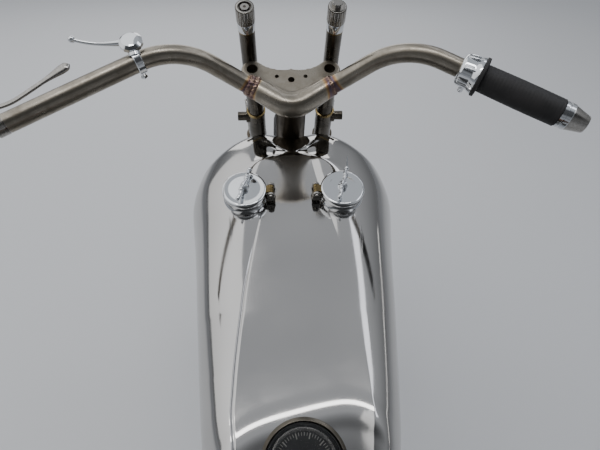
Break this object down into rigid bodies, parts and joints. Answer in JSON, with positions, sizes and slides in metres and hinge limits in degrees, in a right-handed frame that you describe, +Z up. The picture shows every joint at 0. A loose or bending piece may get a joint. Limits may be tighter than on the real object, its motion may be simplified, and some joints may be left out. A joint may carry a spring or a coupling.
{
  "type": "motorcycle",
  "caption": "Vintage-style motorcycle with a rigid frame, sprung girder fork, bare steel twin-filler tank, vee engine, wire wheels, sprung saddle and centre stand",
  "frame": {"origin": "on the floor, under the middle of the bounding box", "axes": "+X to the rider's left, +Y to the rear, +Z up; the machine faces -Y"},
  "size_m": [0.7549, 2.19, 1.1106],
  "materials": {
    "bare_sheet": "bare polished sheet steel, unpainted",
    "raw_tube": "bare ground steel with weld tint",
    "frame_paint": "satin black paint",
    "dark_steel": "dark oiled steel",
    "chrome_trim": "polished plating",
    "turned_aluminium": "cast and turned aluminium",
    "black_barrels": "heat-proof black on finned iron",
    "wheel_steel": "plated rims and spokes, painted hubs",
    "tread_rubber": "black tyre rubber",
    "grip_rubber": "matte black rubber",
    "saddle_leather": "brown leather"
  },
  "bodies": {
    "frame": {"steering_head": "frame_paint", "backbone_tube": "frame_paint", "front_down_tube": "frame_paint", "seat_post": "frame_paint", "left_lower_rail": "frame_paint", "right_lower_rail": "frame_paint", "left_seat_stay": "frame_paint", "right_seat_stay": "frame_paint", "fuel_tank": "bare_sheet", "instrument": "chrome_trim", "filler_necks": "chrome_trim", "crankcase": "turned_aluminium", "front_cylinder": "black_barrels", "rear_cylinder": "black_barrels", "timing_chest": "turned_aluminium", "pushrod_tubes": "chrome_trim", "carburettor": "turned_aluminium", "gearbox": "turned_aluminium", "primary_case": "turned_aluminium", "kick_starter": "dark_steel", "drive_chain": "dark_steel", "front_exhaust": "chrome_trim", "rear_exhaust": "chrome_trim", "oil_tank": "frame_paint", "rear_mudguard": "frame_paint", "rear_axle": "dark_steel", "saddle": "saddle_leather", "saddle_springs": "dark_steel", "footrest_bar": "frame_paint", "footrest_rubbers": "grip_rubber"},
    "fork": {"lower_yoke": "frame_paint", "handlebar": "raw_tube", "fork_top_plate": "raw_tube", "fork_rockers": "dark_steel", "fork_rigid_legs": "dark_steel", "fork_spring_legs": "dark_steel", "front_axle": "dark_steel", "throttle_housing": "chrome_trim", "right_grip": "grip_rubber", "right_bar_end": "turned_aluminium", "left_thumb_lever": "chrome_trim", "bar_end_lever": "chrome_trim"},
    "front_wheel": {"front_tyre": "tread_rubber", "front_wire_wheel": "wheel_steel"},
    "rear_wheel": {"rear_tyre": "tread_rubber", "rear_wire_wheel": "wheel_steel", "rear_sprocket": "dark_steel"},
    "left_cap": {"left_filler_cap": "chrome_trim"},
    "right_cap": {"right_filler_cap": "chrome_trim"},
    "stand": {"centre_stand": "frame_paint"}
  },
  "joints": [
    {"name": "steering", "type": "hinge", "parent": "frame", "child": "fork", "pos_m": [0, -0.32373, 1.00001], "axis": [0, 0.4384, 0.8988], "range_deg": [-22, 22]},
    {"name": "front_wheel_spin", "type": "hinge", "parent": "fork", "child": "front_wheel", "pos_m": [0, -0.75, 0.345], "axis": [1, 0, 0], "continuous": true},
    {"name": "rear_wheel_spin", "type": "hinge", "parent": "frame", "child": "rear_wheel", "pos_m": [0, 0.755, 0.358], "axis": [1, 0, 0], "continuous": true},
    {"name": "left_cap_hinge", "type": "hinge", "parent": "frame", "child": "left_cap", "pos_m": [0.0325, -0.20489, 0.89207], "axis": [0, -0.9703, 0.2419], "range_deg": [0, 100]},
    {"name": "right_cap_hinge", "type": "hinge", "parent": "frame", "child": "right_cap", "pos_m": [-0.0325, -0.20489, 0.89207], "axis": [0, 0.9703, -0.2419], "range_deg": [0, 100]},
    {"name": "stand_pivot", "type": "hinge", "parent": "frame", "child": "stand", "pos_m": [0, 0.355, 0.138], "axis": [1, 0, 0], "range_deg": [0, 75]}
  ]
}
